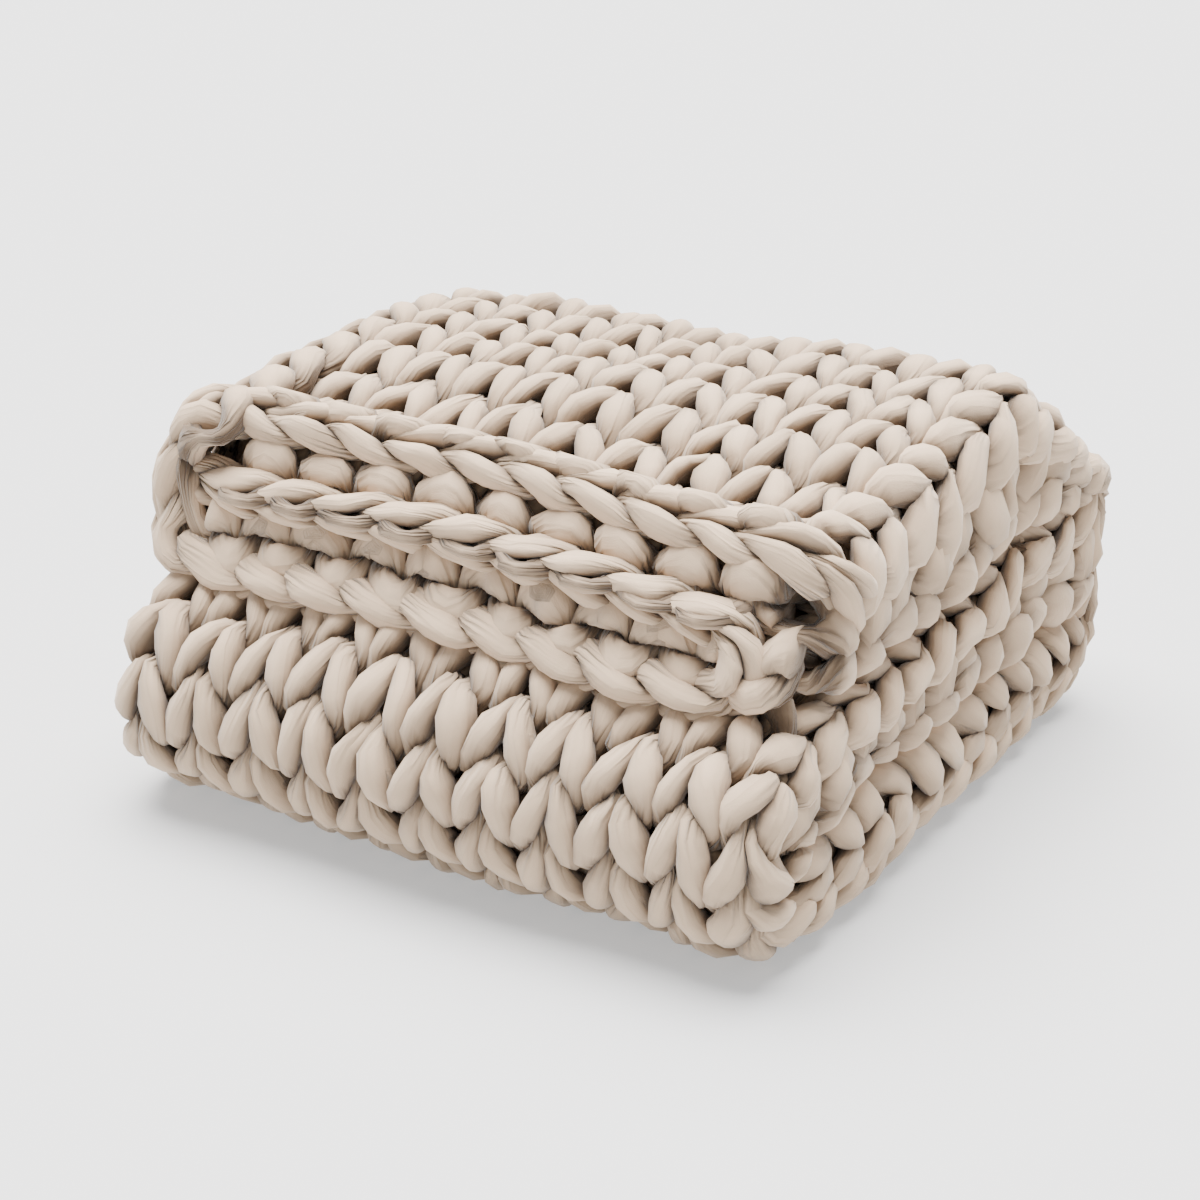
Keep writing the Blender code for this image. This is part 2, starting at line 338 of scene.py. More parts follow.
def stitch_mesh(name, rings, sides, yarn_line=knit_line, beside=True):
    """One stitch of stuffed yarn. Copies a column or a row apart press on each other with flat faces."""
    nudge = 1e-3
    turns = np.linspace(0, 2 * pi, rings + 1)
    centres = yarn_line(turns)
    tangents = yarn_line(turns + nudge) - yarn_line(turns - nudge)
    tangents /= np.linalg.norm(tangents, axis=1, keepdims=True)
    side = np.cross(tangents, [0, 0, 1.0])
    side /= np.linalg.norm(side, axis=1, keepdims=True)
    up = np.cross(side, tangents)
    angles = np.linspace(0, 2 * pi, sides, endpoint=False)
    rays = np.cos(angles)[None, :, None] * side[:, None] + np.sin(angles)[None, :, None] * up[:, None]
    pinch = PINCHED * on_both_legs(turns, NEAR_FOOT, width=0.42)
    belly = FATTENED * on_both_legs(turns, BELLY, width=0.5)
    radii = YARN_RADIUS * (1 - pinch + belly)
    rho = squeezed_radii(yarn_line, beside, centres, rays, turns, radii)
    places = centres[:, None] + rho[..., None] * rays
    faces = []
    for k in range(rings):
        for m in range(sides):
            n = (m + 1) % sides
            faces.append((k * sides + m, k * sides + n, (k + 1) * sides + n, (k + 1) * sides + m))
    mesh = bpy.data.meshes.new(name)
    mesh.from_pydata(places.reshape(-1, 3).tolist(), [], faces)

    grain = np.empty((rings + 1, sides, 3))
    grain[..., 0] = np.cos(angles) * YARN_RADIUS
    grain[..., 1] = np.sin(angles) * YARN_RADIUS
    grain[..., 2] = lengths_along(centres)[:, None]
    gather = on_both_legs(turns, NEAR_FOOT, width=0.46) + on_both_legs(turns, NEAR_HEAD, width=0.40)
    # Painted shade: where neighbours squeeze the yarn, the jersey's colour is later darkened towards SHADOW
    pressed_shade = np.clip(PRESS_SHADE_GROWS * (PRESS_STARTS - rho / radii[:, None]), 0, 1)
    carry(mesh, "grain", grain)
    carry(mesh, "gather", np.repeat(gather, sides))
    carry(mesh, "pressed_shade", pressed_shade)
    mesh.update()
    return mesh


# ---------------------------------------------------------------- geometry nodes
class Wiring:
    """Adds nodes to a tree and joins them up."""

    def __init__(self, tree):
        self.tree = tree

    def node(self, kind, settings=None, **inputs):
        made = self.tree.nodes.new(kind)
        for key, value in (settings or {}).items():
            setattr(made, key, value)
        for key, value in inputs.items():
            self.feed(self.socket(made, key), value)
        return made

    def socket(self, made, key):
        """An input by its number, as in at0, or by its label."""
        if key.startswith("at"):
            return made.inputs[int(key[2:])]
        label = key.replace("_", " ").lower()
        return next(s for s in made.inputs if s.name.lower() == label and s.enabled)

    def feed(self, socket, value):
        if isinstance(value, bpy.types.NodeSocket):
            self.tree.links.new(value, socket)
        else:
            socket.default_value = value

    def math(self, operation, *values):
        made = self.node("ShaderNodeMath", {"operation": operation})
        for number, value in enumerate(values):
            self.feed(made.inputs[number], value)
        return made.outputs[0]

    def plus(self, first, second):
        return self.math("ADD", first, second)

    def minus(self, first, second):
        return self.math("SUBTRACT", first, second)

    def times(self, first, second):
        return self.math("MULTIPLY", first, second)

    def over(self, first, second):
        return self.math("DIVIDE", first, second)

    def least(self, first, second):
        return self.math("MINIMUM", first, second)

    def most(self, first, second):
        return self.math("MAXIMUM", first, second)

    def vector(self, operation, *values):
        made = self.node("ShaderNodeVectorMath", {"operation": operation})
        for number, value in enumerate(values):
            self.feed(made.inputs[number], value)
        return made.outputs["Value" if operation == "DOT_PRODUCT" else "Vector"]

    def scaled(self, value, factor):
        made = self.node("ShaderNodeVectorMath", {"operation": "SCALE"})
        self.feed(made.inputs[0], value)
        self.feed(made.inputs["Scale"], factor)
        return made.outputs["Vector"]

    def parts(self, value):
        return self.node("ShaderNodeSeparateXYZ", at0=value).outputs

    def join(self, x, y, z):
        return self.node("ShaderNodeCombineXYZ", at0=x, at1=y, at2=z).outputs[0]

    def noise(self, where, scale, detail=1.0):
        """A noise vector about zero."""
        made = self.node("ShaderNodeTexNoise", Vector=where, Scale=scale, Detail=detail)
        return self.vector("SUBTRACT", made.outputs["Color"], (0.5, 0.5, 0.5))

    def position(self):
        return self.node("GeometryNodeInputPosition").outputs[0]

    def carried(self, name, kind="FLOAT"):
        """What the stitches carry under this name."""
        return self.node("GeometryNodeInputNamedAttribute", {"data_type": kind}, Name=name).outputs[0]

    def moved(self, geometry, position):
        return self.node("GeometryNodeSetPosition", Geometry=geometry, Position=position).outputs[0]


def new_tree(name, sockets):
    """A tree that takes a stitch and the sizes in `sockets`, and gives back cloth."""
    tree = bpy.data.node_groups.new(name, "GeometryNodeTree")
    tree.interface.new_socket("Stitch", in_out="INPUT", socket_type="NodeSocketGeometry")
    for label, kind in sockets:
        tree.interface.new_socket(label, in_out="INPUT", socket_type="NodeSocket" + kind)
    tree.interface.new_socket("Cloth", in_out="OUTPUT", socket_type="NodeSocketGeometry")
    wires = Wiring(tree)
    given = wires.node("NodeGroupInput").outputs
    return tree, wires, given


GRID_SOCKETS = [
    ("Columns", "Int"), ("Rows", "Int"), ("First column", "Float"), ("First row", "Int"),
    ("Column pitch", "Float"), ("Row pitch", "Float")]
FINISH_SOCKETS = [("Unevenness", "Float"), ("Softness", "Float"), ("Seed", "Int"), ("Yarn", "Material")]


def stitches_in_a_grid(wires, given):
    """The stitch, copied down its columns and rows in the flat cloth: x across, y along, z out of the knit
    side."""
    count = wires.times(given["Columns"], given["Rows"])
    index = wires.node("GeometryNodeInputIndex").outputs[0]
    row = wires.math("FLOOR", wires.over(wires.plus(index, 0.5), given["Columns"]))
    column = wires.minus(index, wires.times(row, given["Columns"]))
    x = wires.times(wires.plus(column, given["First column"]), given["Column pitch"])
    y = wires.times(wires.plus(wires.plus(row, given["First row"]), 0.5), given["Row pitch"])
    points = wires.node("GeometryNodePoints", Count=count, Position=wires.join(x, y, 0.0)).outputs[0]
    wide = wires.over(given["Column pitch"], COLUMN)
    long = wires.over(given["Row pitch"], ROW)
    copies = wires.node("GeometryNodeInstanceOnPoints", Points=points, Instance=given["Stitch"],
                        Scale=wires.join(wide, long, 1.0)).outputs[0]
    shade = wires.node("FunctionNodeRandomValue", {"data_type": "FLOAT"}, Seed=given["Seed"]).outputs[1]
    named = wires.node("GeometryNodeStoreNamedAttribute", {"data_type": "FLOAT", "domain": "INSTANCE"},
                       Geometry=copies, Name="shade", Value=shade).outputs[0]
    return wires.node("GeometryNodeRealizeInstances", Geometry=named).outputs[0]


PLEATS_ACROSS = 170.0    # pleats to a metre across the yarn
PLEATS_ALONG = 45.0      # and along it
PLEAT_SHUFFLE = 90.0     # how far the pattern differs from stitch to stitch
PLEAT_GATHERED = 0.0044  # height of a pleat where the yarn is gathered
PLEAT_ANYWHERE = 0.0010  # and of those that are everywhere


def pleated(wires, cloth):
    """Soft pleats that run along the yarn where it is gathered."""
    grain = wires.parts(wires.carried("grain", "FLOAT_VECTOR"))
    own = wires.times(wires.carried("shade"), PLEAT_SHUFFLE)
    lines = wires.join(wires.times(grain[0], PLEATS_ACROSS), wires.times(grain[1], PLEATS_ACROSS),
                       wires.plus(wires.times(grain[2], PLEATS_ALONG), own))
    ripple = wires.node("ShaderNodeTexNoise", Vector=lines, Scale=1.0, Detail=0.0).outputs[0]
    tallest = wires.plus(wires.times(wires.carried("gather"), PLEAT_GATHERED), PLEAT_ANYWHERE)
    height = wires.times(wires.minus(ripple, 0.5), tallest)
    normal = wires.node("GeometryNodeInputNormal").outputs[0]
    return wires.moved(cloth, wires.vector("ADD", wires.position(), wires.scaled(normal, height)))


COARSE_WARP = (20.0, 0.030)   # waves to a metre, and their height at an unevenness of one
FINE_WARP = (55.0, 0.011)
SEED_APART = 1.7              # metres between two layers' patterns of unevenness


def uneven(wires, given, cloth):
    """No two stitches alike: the flat cloth is warped a little, mostly within each stitch."""
    here = wires.position()
    shift = wires.join(wires.times(given["Seed"], SEED_APART), 0.0, 0.0)
    own = wires.vector("ADD", here, shift)
    warps = []
    for waves, height in (COARSE_WARP, FINE_WARP):
        warps.append(wires.scaled(wires.noise(own, waves), wires.times(given["Unevenness"], height)))
    return wires.moved(cloth, wires.vector("ADD", here, wires.vector("ADD", *warps)))


def sampled(wires, guide, length):
    """A guide's position, direction and thickness scale at a length along it."""
    curve = wires.node("GeometryNodeObjectInfo", Object=guide).outputs["Geometry"]
    radius = wires.node("GeometryNodeInputRadius").outputs[0]
    found = wires.node("GeometryNodeSampleCurve", {"mode": "LENGTH", "data_type": "FLOAT"},
                       Curves=curve, Value=radius, Length=wires.plus(length, LEAD))
    return found.outputs["Position"], found.outputs["Tangent"], found.outputs[0]


def squared_corner(wires, where):
    """The back fold's upper corner, pushed out from a round one towards a square one."""
    at = wires.parts(where)
    behind = wires.most(wires.minus(at[1], BACK_AXIS), 0.0)
    above = wires.most(wires.minus(at[2], HINGE[2]), 0.0)
    far = wires.plus(wires.plus(wires.times(behind, behind), wires.times(above, above)), 1e-6)
    both = wires.over(wires.times(behind, above), far)
    bulge = wires.times(wires.times(both, both), 4 * SQUARE_BACK)
    push = wires.join(0.0, wires.times(behind, bulge), wires.times(above, bulge))
    return wires.vector("ADD", where, push)


def settled(wires, given, cloth):
    """The whole pack out of true: slow waves, a squarer corner at the back, a lower back that leans in, the
    flap's one back corner sunk and the other propped up, and a flat underside where it rests."""
    here = wires.position()
    waves = wires.scaled(wires.noise(here, WAVES, 0.0), given["Softness"])
    at = wires.parts(squared_corner(wires, wires.vector("ADD", here, waves)))
    low = wires.most(wires.minus(1.0, wires.over(at[2], ROUND_HEIGHT)), 0.0)
    rear = wires.most(wires.over(at[1], HIGH[1]), 0.0)
    tuck = wires.times(wires.times(low, low), wires.math("POWER", rear, 3.0))
    y = wires.minus(at[1], wires.times(tuck, ROUND_BACK))
    left = wires.most(wires.over(at[0], LOW[0]), 0.0)
    right = wires.most(wires.over(at[0], HIGH[0]), 0.0)
    high = wires.most(wires.over(wires.minus(at[2], BASE_TOP), HIGH[2]), 0.0)
    sag = wires.minus(wires.times(wires.times(left, left), SAG_LEFT), wires.times(right, RISE_RIGHT))
    z = wires.minus(at[2], wires.times(sag, wires.times(high, rear)))
    z = wires.math("SMOOTH_MAX", z, FLOOR, FLOOR_EASE)
    z = wires.math("SMOOTH_MIN", z, CEILING, CEILING_EASE)
    return wires.moved(cloth, wires.join(at[0], y, z))


def finished_cloth(wires, given, cloth):
    """Stitches welded end to end, smooth and in their yarn."""
    merged = wires.node("GeometryNodeMergeByDistance", Geometry=cloth, Distance=0.0001).outputs[0]
    smooth = wires.node("GeometryNodeSetShadeSmooth", Geometry=merged).outputs[0]
    dressed = wires.node("GeometryNodeSetMaterial", Geometry=smooth, Material=given["Yarn"]).outputs[0]
    wires.node("NodeGroupOutput", Cloth=dressed)


def flat_cloth(wires, given):
    """Flat, uneven, pleated cloth, and the three parts of each point's place in it."""
    cloth = stitches_in_a_grid(wires, given)
    cloth = pleated(wires, cloth)
    cloth = uneven(wires, given, cloth)
    return cloth, wires.parts(wires.position())


def knit_cloth_tree():
    """Knitted cloth folded twice: across by the side guide (x, depth), then along by the length guide
    (y, z)."""
    tree, wires, given = new_tree("knit cloth", GRID_SOCKETS + [
        ("Side guide", "Object"), ("Length guide", "Object"), ("Middle", "Float"),
        ("Knit relief", "Float"), ("Purl relief", "Float")] + FINISH_SOCKETS)
    cloth, flat = flat_cloth(wires, given)
    knit = wires.times(wires.most(flat[2], 0.0), given["Knit relief"])
    purl = wires.times(wires.least(flat[2], 0.0), given["Purl relief"])
    out = wires.plus(knit, purl)

    place, run = sampled(wires, given["Side guide"], flat[0])[:2]
    at, way = wires.parts(place), wires.parts(run)
    x = wires.plus(at[0], wires.times(out, way[2]))
    depth = wires.minus(at[2], given["Middle"])
    rise = wires.times(out, way[0])

    place, run, scale = sampled(wires, given["Length guide"], flat[1])
    at, way = wires.parts(place), wires.parts(run)
    lift = wires.minus(wires.times(depth, scale), rise)
    y = wires.plus(at[1], wires.times(lift, way[2]))
    z = wires.minus(at[2], wires.times(lift, way[1]))
    cloth = wires.moved(cloth, wires.join(x, y, z))
    finished_cloth(wires, given, settled(wires, given, cloth))
    return tree


def chain_tree():
    """A chain of links laid along a route, its face turned away from a spine inside the pack."""
    tree, wires, given = new_tree("chain of links", GRID_SOCKETS + [
        ("Route", "Object"), ("Spine", "Vector"), ("Spine left", "Float"), ("Spine right", "Float"),
        ("Width", "Float"), ("Thickness", "Float")] + FINISH_SOCKETS)
    cloth, flat = flat_cloth(wires, given)
    place, run = sampled(wires, given["Route"], flat[1])[:2]
    at, spine = wires.parts(place), wires.parts(given["Spine"])
    nearest = wires.least(wires.most(at[0], given["Spine left"]), given["Spine right"])
    away = wires.vector("SUBTRACT", place, wires.join(nearest, spine[1], spine[2]))
    along = wires.scaled(run, wires.vector("DOT_PRODUCT", away, run))
    face = wires.vector("NORMALIZE", wires.vector("SUBTRACT", away, along))
    across = wires.vector("CROSS_PRODUCT", run, face)
    sideways = wires.scaled(across, wires.times(flat[0], given["Width"]))
    outwards = wires.scaled(face, wires.times(flat[2], given["Thickness"]))
    cloth = wires.moved(cloth, wires.vector("ADD", place, wires.vector("ADD", sideways, outwards)))
    finished_cloth(wires, given, settled(wires, given, cloth))
    return tree


def close_ends(mesh):
    """Close the yarn wherever a piece of cloth ends."""
    work = bmesh.new()
    work.from_mesh(mesh)
    bmesh.ops.holes_fill(work, edges=[edge for edge in work.edges if edge.is_boundary], sides=0)
    work.to_mesh(mesh)
    work.free()


def grown(tree, stitch, values, name):
    """The mesh that a tree grows from one stitch, as a plain object at the origin."""
    seedling = bpy.data.objects.new(name + " stitch", stitch)
    bpy.context.scene.collection.objects.link(seedling)
    growth = seedling.modifiers.new("knit", "NODES")
    growth.node_group = tree
    sockets = {item.name: item.identifier for item in tree.interface.items_tree if item.in_out == "INPUT"}
    for label, value in values.items():
        growth[sockets[label]] = value
    bpy.context.view_layer.update()
    seen = seedling.evaluated_get(bpy.context.evaluated_depsgraph_get())
    mesh = bpy.data.meshes.new_from_object(seen)
    mesh.name = name
    bpy.data.objects.remove(seedling)
    close_ends(mesh)
    piece = bpy.data.objects.new(name, mesh)
    bpy.context.scene.collection.objects.link(piece)
    return piece


# ---------------------------------------------------------------- jersey
YARN_COLOUR = (0.588, 0.434, 0.300)
SHADES = (0.90, 1.07)              # darkest and lightest stitch, as shares of that colour
SHADOW = (0.20, 0.18, 0.16)        # painted shade, as shares of that colour, put on the lines where strands press together and in the creases
CREASES_ACROSS = 150.0             # creases to a metre across the yarn
CREASES_ALONG = 28.0               # and along it
CREASE_SHUFFLE = 90.0              # how far the pattern differs from stitch to stitch
CREASE_NARROW = 7.0                # the higher, the narrower is a crease
CREASE_GATHERED = 0.9              # depth of a crease where the yarn is gathered
CREASE_ANYWHERE = 0.05             # and of those that are everywhere
CREASE_SHADE = 0.42                 # how much painted shade a crease takes on
RIBS_ACROSS = 2400.0               # the jersey's ribs to a metre across the yarn
RIBS_ALONG = 900.0                 # and along it
RIB_HEIGHT = 0.10                  # as a share of a crease's depth
CREASE_HEIGHT = 0.0022             # of the deepest crease
CLOUDS = 9.0                       # soft patches of shade to a metre


def jersey_relief(wires, grain, crease):
    """The bump of the creases and of the jersey's fine ribs."""
    rib = wires.join(wires.times(grain[0], RIBS_ACROSS), wires.times(grain[1], RIBS_ACROSS),
                     wires.times(grain[2], RIBS_ALONG))
    weave = wires.node("ShaderNodeTexNoise", Vector=rib, Scale=1.0, Detail=2.0, Roughness=0.6).outputs["Fac"]
    height = wires.minus(wires.times(weave, RIB_HEIGHT), crease)
    return wires.node("ShaderNodeBump", Height=height, Strength=1.0, Distance=CREASE_HEIGHT).outputs["Normal"]


def jersey_creases(wires, grain, gather, shade):
    """Lines along the yarn, deep where it is gathered."""
    own = wires.times(shade, CREASE_SHUFFLE)
    lines = wires.join(wires.times(grain[0], CREASES_ACROSS), wires.times(grain[1], CREASES_ACROSS),
                       wires.plus(wires.times(grain[2], CREASES_ALONG), own))
    noise = wires.node("ShaderNodeTexNoise", Vector=lines, Scale=1.0, Detail=1.0, Roughness=0.5)
    ripple = wires.minus(noise.outputs["Fac"], 0.5)
    away = wires.times(wires.math("ABSOLUTE", ripple), CREASE_NARROW)
    crease = wires.minus(1.0, wires.least(away, 1.0))
    depth = wires.plus(wires.times(wires.least(gather, 1.0), CREASE_GATHERED), CREASE_ANYWHERE)
    return wires.times(crease, depth)


def mixed(wires, share, first, second):
    """A colour between two others, which can each be a colour or a socket."""
    mix = wires.node("ShaderNodeMix", {"data_type": "RGBA"}, at0=share, at6=first, at7=second)
    return mix.outputs[2]


def jersey(name, colour):
    """Brushed cotton jersey pulled over the yarn's filling: fine ribs along the yarn, creases where it is
    gathered, painted shade along the lines where strands press together, and a slightly different shade for
    each stitch."""
    material = bpy.data.materials.new(name)
    material.use_nodes = True
    wires = Wiring(material.node_tree)
    shader = material.node_tree.nodes["Principled BSDF"]
    shader.inputs["Roughness"].default_value = 0.88
    shader.inputs["Specular IOR Level"].default_value = 0.2
    shader.inputs["Sheen Weight"].default_value = 0.22
    shader.inputs["Sheen Roughness"].default_value = 0.55

    grain = wires.parts(wires.node("ShaderNodeAttribute", {"attribute_name": "grain"}).outputs["Vector"])
    gather, shade, pressed_shade = (wires.node("ShaderNodeAttribute", {"attribute_name": label}).outputs["Fac"]
                            for label in ("gather", "shade", "pressed_shade"))
    crease = jersey_creases(wires, grain, gather, shade)
    wires.feed(shader.inputs["Normal"], jersey_relief(wires, grain, crease))

    place = wires.node("ShaderNodeTexCoord").outputs["Object"]
    cloud = wires.node("ShaderNodeTexNoise", Vector=place, Scale=CLOUDS, Detail=2.0).outputs["Fac"]
    tone = wires.plus(wires.times(shade, 0.5), wires.times(cloud, 0.5))
    darkest, lightest = [(*[share * c for c in colour], 1) for share in SHADES]
    shadow = (*[share * c for share, c in zip(SHADOW, colour)], 1)
    # Painted shade: the colour darkens towards SHADOW where strands press together and in the creases
    painted_shade = wires.plus(pressed_shade, wires.times(crease, CREASE_SHADE))
    lit = mixed(wires, tone, darkest, lightest)
    wires.feed(shader.inputs["Base Color"], mixed(wires, wires.least(painted_shade, 1.0), lit, shadow))
    return material


# ---------------------------------------------------------------- the cloth
CURL = 0.0255            # radius of the rolled-over side edge
RIGHT_MIDDLE = HIGH[0] - RELIEF - CURL
LEFT_MIDDLE = LOW[0] + RELIEF + LOWER_PLY
FOLD_MIDDLE = HIGH[0] - RELIEF - 0.6 * LOWER_PLY
FOLD_LEAD = 0.028        # straight cloth on both sides of the right fold
LEFT_GAP = 0.006         # between the middle ply and the left fold
FOLD_COLUMNS = 2         # columns that turn round the left side fold
SELVEDGE_WIDTH = 0.80    # of the selvedge's links, as a share of a column
RIM_RELIEF = (0.60, 0.95)   # relief of the last rows on the knit side and on the purl side
UNEVENNESS = 0.50        # of the stitches in most layers
STRETCHES = ("centre_panel", "front_fold", "base", "back_fold", "flap")

# Where each ply's edge leaves the level flap, dips and rolls over towards its knit side: (y, z) of its middle
OUTER_EDGE = [
    (-0.045, 0.2040), (-0.075, 0.2005), (-0.097, 0.192), (-0.111, 0.183), (-0.122, 0.180),
    (-0.130, 0.184), (-0.133, 0.191), (-0.131, 0.198), (-0.124, 0.203)]
MIDDLE_EDGE = [(-0.100, 0.174), (-0.118, 0.172), (-0.128, 0.173), (-0.134, 0.177)]
INNER_EDGE = [
    (-0.080, 0.1443), (-0.102, 0.148), (-0.118, 0.158), (-0.130, 0.163), (-0.141, 0.160),
    (-0.148, 0.152), (-0.150, 0.144), (-0.150, 0.138)]

# The bind-off chain: along the middle ply's edge, round to the inner ply's, round the left end, and back
# along the outer ply's edge to the right corner, where it turns down
CHAIN_ROUTE = [
    (-0.186, -0.112, 0.170), (-0.201, -0.128, 0.172), (-0.192, -0.139, 0.179), (-0.05, -0.141, 0.181),
    (0.10, -0.141, 0.180), (0.140, -0.142, 0.178), (0.158, -0.144, 0.171), (0.163, -0.149, 0.159),
    (0.160, -0.155, 0.145), (0.145, -0.159, 0.138), (0.05, -0.159, 0.137), (-0.10, -0.159, 0.137),
    (-0.185, -0.156, 0.137), (-0.208, -0.149, 0.141), (-0.212, -0.142, 0.156), (-0.213, -0.137, 0.176),
    (-0.207, -0.129, 0.198), (-0.197, -0.121, 0.211), (-0.180, -0.117, 0.215), (-0.05, -0.117, 0.215),
    (0.10, -0.117, 0.214), (0.155, -0.118, 0.212), (0.180, -0.119, 0.210), (0.194, -0.117, 0.201),
    (0.198, -0.109, 0.189), (0.197, -0.097, 0.178)]
BIND_OFF_SPINE = (0.0, -0.090, 0.172)
CAST_ON_SPINE = (0.0, 0.0, CENTRE_BOTTOM + 1.5 * LOWER_PLY)
SPINE_ENDS = (-0.17, 0.13)   # x of a spine's two ends


def outer_side():
    """Across the outer ply: up over the rolled right edge, left along the top, round the left fold."""
    ply = LOWER_PLY
    curl = arc((RIGHT_MIDDLE, 2.5 * ply - CURL), CURL, 0, 90, steps=30)[0]
    top = line((RIGHT_MIDDLE, 2.5 * ply), (LEFT_MIDDLE, 2.5 * ply), (0, 1))[0]
    fold = arc((LEFT_MIDDLE, 1.5 * ply), ply, 90, 270, steps=40)[0]
    return evened(curl, top, fold)


def middle_side():
    level = 1.5 * LOWER_PLY
    return line((FOLD_MIDDLE - FOLD_LEAD, level), (LEFT_MIDDLE + LEFT_GAP, level), (0, 1))[0]


def inner_side():
    level = 0.5 * LOWER_PLY
    return line((LEFT_MIDDLE, level), (FOLD_MIDDLE, level), (0, -1))[0]


def fold_side():
    """Round the right fold, from the inner ply up to the middle one, with a straight lead on both sides."""
    ply = LOWER_PLY
    start = FOLD_MIDDLE - FOLD_LEAD
    lead = line((start, 0.5 * ply), (FOLD_MIDDLE, 0.5 * ply), (0, -1), steps=10)[0]
    turn = arc((FOLD_MIDDLE, ply), 0.5 * ply, -90, 90, steps=30)[0]
    away = line((FOLD_MIDDLE, 1.5 * ply), (start, 1.5 * ply), (0, 1), steps=10)[0]
    return evened(lead, turn, away)


class Layer:
    """One ply, or one fold between plies, knitted along the whole strip and cut where the strip's stretches
    meet. It lies `depth` plies out from the strip's inner face and is level up to y = `front` on the flap."""

    def __init__(self, name, side, depth, front, seed, edge=(), relief=(0.9, 0.5), row_pitch=None,
                 unevenness=UNEVENNESS, width=1.0):
        self.name = name
        self.depth = depth
        self.seed = seed
        self.relief = relief
        self.unevenness = unevenness
        self.side = guide_object(name + " side guide", in_side_plane(side))
        self.columns = max(1, round(path_length(side) / COLUMN))
        self.column_pitch = path_length(side) / self.columns * width
        points, scales, ends = length_guide(depth, edge, front)
        self.along = guide_object(name + " length guide", in_length_plane(points), scales)
        self.row_pitch = row_pitch or ends["flap"] / round(ends["flap"] / ROW)
        self.rows = {}
        first = 0
        for stretch in STRETCHES:
            last = round(ends[stretch] / self.row_pitch)
            self.rows[stretch] = (first, last)
            first = last

    def piece(self, tree, stitch, stretch, yarn, start=0.0, columns=None, skip=0, rim=0):
        """The knitting of one stretch: `columns` columns from column `start`. It leaves out the last `skip`
        rows, or is only the `rim` last ones, with a relief of their own."""
        first, last = self.rows[stretch]
        relief = self.relief
        name = stretch + "_" + self.name
        last = last - skip
        if rim:
            first = last - rim
            relief = RIM_RELIEF
            name = name + "_rim"
        return grown(tree, stitch, {
            "Columns": columns or self.columns, "Rows": last - first, "First column": start,
            "First row": first, "Column pitch": self.column_pitch, "Row pitch": self.row_pitch,
            "Side guide": self.side, "Length guide": self.along, "Middle": self.depth * LOWER_PLY,
            "Knit relief": relief[0], "Purl relief": relief[1], "Unevenness": self.unevenness,
            "Softness": SOFTNESS, "Seed": self.seed, "Yarn": yarn}, name)

    def remove_guides(self):
        bpy.data.objects.remove(self.side)
        bpy.data.objects.remove(self.along)


def attach(piece, stretch, *replaced, slot="knit_cloth"):
    """Hide the parts that a piece of cloth stands for, and hand it to the body that carries it; a back fold
    piece has its place baked in instead.
    """
    if replaced:
        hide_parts(*[stretch + "_" + node for node in replaced])
    if stretch == "back_fold":
        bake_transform(piece)
    else:
        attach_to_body(piece, "flap" if stretch == "flap" else "folded_pack")


def build_cloth(yarn):
    tree = knit_cloth_tree()
    fine = stitch_mesh("fine stitch", rings=28, sides=22)
    plain = stitch_mesh("plain stitch", rings=20, sides=14)
    coarse = stitch_mesh("coarse stitch", rings=14, sides=10)
    link = stitch_mesh("selvedge link", 28, 22, chain_line, beside=False)

    outer = Layer("outer_knit", outer_side(), depth=2.5, front=-0.030, seed=1, edge=OUTER_EDGE)
    left = Layer("left_fold_knit", outer_side(), depth=2.5, front=-0.123, seed=1, row_pitch=outer.row_pitch)
    right = Layer("selvedge_knit", outer_side(), depth=2.5, front=-0.098, seed=1, relief=(0.8, 0.5),
                  row_pitch=outer.row_pitch, unevenness=0.65, width=SELVEDGE_WIDTH)
    middle = Layer("middle_knit", middle_side(), depth=1.5, front=-0.080, seed=2, edge=MIDDLE_EDGE,
                   relief=(0.55, 0.45))
    inner = Layer("inner_knit", inner_side(), depth=0.5, front=-0.060, seed=3, edge=INNER_EDGE,
                  relief=(0.6, 0.45))
    fold = Layer("fold_knit", fold_side(), depth=1.0, front=-0.109, seed=4, relief=(0.8, 0.4),
                 unevenness=0.85)

    first = 1.0
    field = outer.columns - 1 - FOLD_COLUMNS
    edge_column = 1 / SELVEDGE_WIDTH - 0.5
    for stretch in STRETCHES:
        rim = 1 if stretch == "flap" else 0
        hidden = plain if stretch == "flap" else coarse
        knitted = outer.piece(tree, fine, stretch, yarn, first, field, skip=rim)
        attach(knitted, stretch, "outer_ply")
        knitted = left.piece(tree, fine, stretch, yarn, first + field, FOLD_COLUMNS)
        attach(knitted, stretch, "left_side_fold")
        knitted = right.piece(tree, link, stretch, yarn, edge_column, columns=1)
        attach(knitted, stretch, "selvedge", slot="knit_edge")
        attach(middle.piece(tree, hidden, stretch, yarn), stretch, "middle_ply")
        attach(inner.piece(tree, hidden, stretch, yarn, skip=2 * rim), stretch, "inner_ply")
        attach(fold.piece(tree, fine, stretch, yarn), stretch, "right_side_fold")
    attach(outer.piece(tree, fine, "flap", yarn, first, field, rim=1), "flap")
    attach(inner.piece(tree, fine, "flap", yarn, rim=2), "flap")
    for layer in (outer, left, right, middle, inner, fold):
        layer.remove_guides()


def cast_on_route():
    """Through the middles of the cast-on edge's nodes, from the outer ply's right end, round the left, along
    the inner ply and round the right to the middle ply's left end."""
    inset = 0.01
    points = []
    for part, way in (("outer", -1), ("left_turn", 0), ("inner", 1), ("right_turn", 0), ("middle", -1)):
        low, high = (np.array(corner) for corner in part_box("cast_on_" + part))
        middle = (low + high) / 2
        half = np.array([(high[0] - low[0]) / 2 - inset, 0, 0])
        if way:
            points += [middle - way * half, middle + way * half]
        else:
            points.append(middle)
    return points


